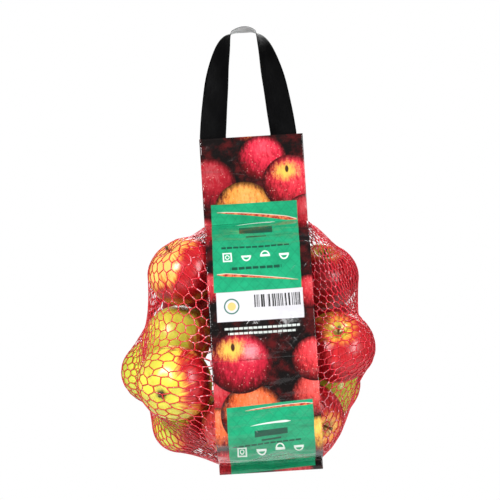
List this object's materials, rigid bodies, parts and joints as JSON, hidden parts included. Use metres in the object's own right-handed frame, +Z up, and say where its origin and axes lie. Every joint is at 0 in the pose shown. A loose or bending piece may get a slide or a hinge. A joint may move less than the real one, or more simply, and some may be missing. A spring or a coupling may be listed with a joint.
{
  "type": "mesh produce bag",
  "caption": "Net sleeve of apples welded at its top and bottom between two printed film bands, hanging by a flat strap loop that folds at the header's top edge.",
  "frame": {"origin": "middle of the strap's underside at the top of its loop, where a hook or a hand carries the bag", "axes": "+Z up as the bag hangs, label side facing -Y, X across the film bands"},
  "size_m": [0.2385, 0.2072, 0.4031],
  "materials": {
    "strap": "satin",
    "printed_film": "gloss",
    "net": "gloss",
    "apple_red": "waxed",
    "apple_yellow_green": "waxed",
    "stem": "matte"
  },
  "bodies": {
    "handle": {"handle_strap": "strap"},
    "header": {"strap_tab_left": "strap", "strap_tab_right": "strap", "front_film_header": "printed_film", "back_film_header": "printed_film", "net_top_hem": "net"},
    "bag": {"net_sleeve": "net", "front_film_band": "printed_film", "back_film_band": "printed_film", "apple_01": "apple_red", "apple_02": "apple_yellow_green", "apple_03": "apple_yellow_green", "apple_04": "apple_yellow_green", "apple_05": "apple_yellow_green", "apple_06": "apple_red", "apple_07": "apple_red", "apple_08": "apple_red", "apple_09": "apple_yellow_green", "apple_10": "apple_red", "apple_11": "apple_red", "apple_12": "apple_red", "apple_13": "apple_red", "apple_14": "apple_red", "apple_15": "apple_red", "apple_16": "apple_red", "apple_17": "apple_red", "stem_01": "stem", "stem_02": "stem", "stem_03": "stem", "stem_04": "stem", "stem_05": "stem", "stem_06": "stem", "stem_07": "stem", "stem_08": "stem", "stem_09": "stem", "stem_10": "stem", "stem_11": "stem", "stem_12": "stem", "stem_13": "stem", "stem_14": "stem", "stem_15": "stem", "stem_16": "stem", "stem_17": "stem"},
    "bottom_fin": {"front_film_fin": "printed_film", "back_film_fin": "printed_film", "net_bottom_hem": "net"}
  },
  "joints": [
    {"name": "strap_fold", "type": "hinge", "parent": "handle", "child": "header", "pos_m": [0, 0, -0.0955], "axis": [1, 0, 0], "range_deg": [-75, 75]},
    {"name": "neck_fold", "type": "hinge", "parent": "header", "child": "bag", "pos_m": [0, 0, -0.1745], "axis": [1, 0, 0], "range_deg": [-60, 60]},
    {"name": "seal_fold", "type": "hinge", "parent": "bag", "child": "bottom_fin", "pos_m": [0, 0, -0.39329], "axis": [1, 0, 0], "range_deg": [-75, 75]}
  ]
}
